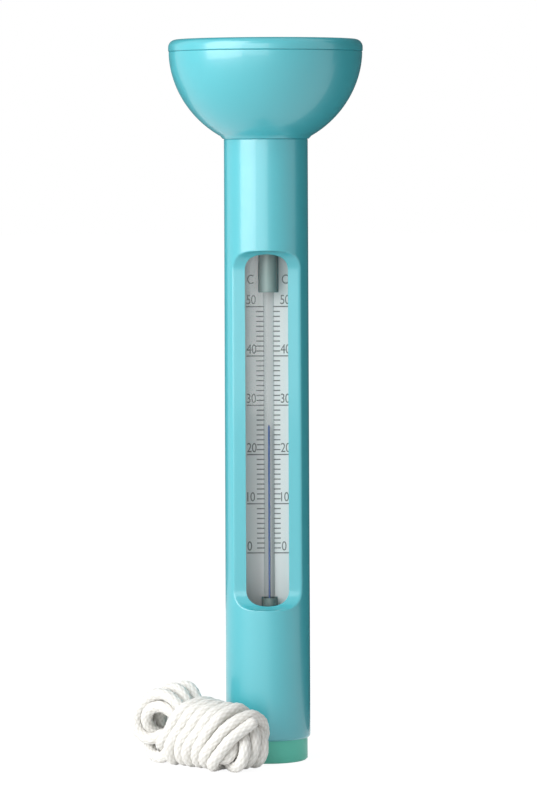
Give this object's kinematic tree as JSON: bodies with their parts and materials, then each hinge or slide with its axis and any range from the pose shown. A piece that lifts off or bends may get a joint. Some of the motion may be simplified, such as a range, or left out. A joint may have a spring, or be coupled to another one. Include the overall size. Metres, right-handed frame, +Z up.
{
  "type": "floating pool thermometer",
  "caption": "Upright floating pool thermometer: half-ball float on a windowed case tube with a sealed spirit thermometer inside, a pull-out end cap and a hank of cord.",
  "frame": {"origin": "centre of the end cap's base, on the surface that the thermometer stands on", "axes": "+Z up along the case tube, -Y out of the window, +X to the right as the scale is read"},
  "size_m": [0.072, 0.0661, 0.2245],
  "materials": {
    "turquoise_shell": "satin-gloss moulded ABS",
    "black_rubber": "nitrile ring",
    "clear_acrylic": "clear polished acrylic",
    "grey_rubber": "soft moulded rubber",
    "grey_foam": "closed-cell foam",
    "ballast_steel": "plain turned steel",
    "white_card": "white printed styrene",
    "stem_glass": "drawn glass",
    "smoky_sleeve": "translucent grey-green tubing",
    "blue_spirit": "dyed spirit",
    "green_cap": "satin-gloss moulded plastic",
    "white_cord": "braided polyester"
  },
  "bodies": {
    "case": {"float_lid": "turquoise_shell", "float_bowl": "turquoise_shell", "case_tube": "turquoise_shell", "lid_seal": "black_rubber", "neck_seal": "black_rubber", "lens_tube": "clear_acrylic", "upper_bung": "grey_rubber", "lower_bung": "grey_rubber", "foam_pad": "grey_foam", "ballast_slug": "ballast_steel", "scale_card": "white_card", "glass_stem": "stem_glass", "lower_stem_sleeve": "smoky_sleeve", "upper_stem_sleeve": "smoky_sleeve", "spirit_reservoir": "blue_spirit"},
    "spirit": {"spirit_column": "blue_spirit", "spirit_meniscus": "blue_spirit"},
    "cap": {"end_cap": "green_cap", "cap_seal": "black_rubber", "cord_knot": "white_cord", "cord_lead": "white_cord", "cord_hank": "white_cord"}
  },
  "joints": [
    {"name": "spirit_rise", "type": "slide", "parent": "case", "child": "spirit", "axis": [0, 0, 1], "range_m": [-0.0403, 0.0366], "deforming": ["spirit_column"]},
    {"name": "cap_pull", "type": "slide", "parent": "case", "child": "cap", "axis": [0, 0, -1], "range_m": [0, 0.014]}
  ]
}
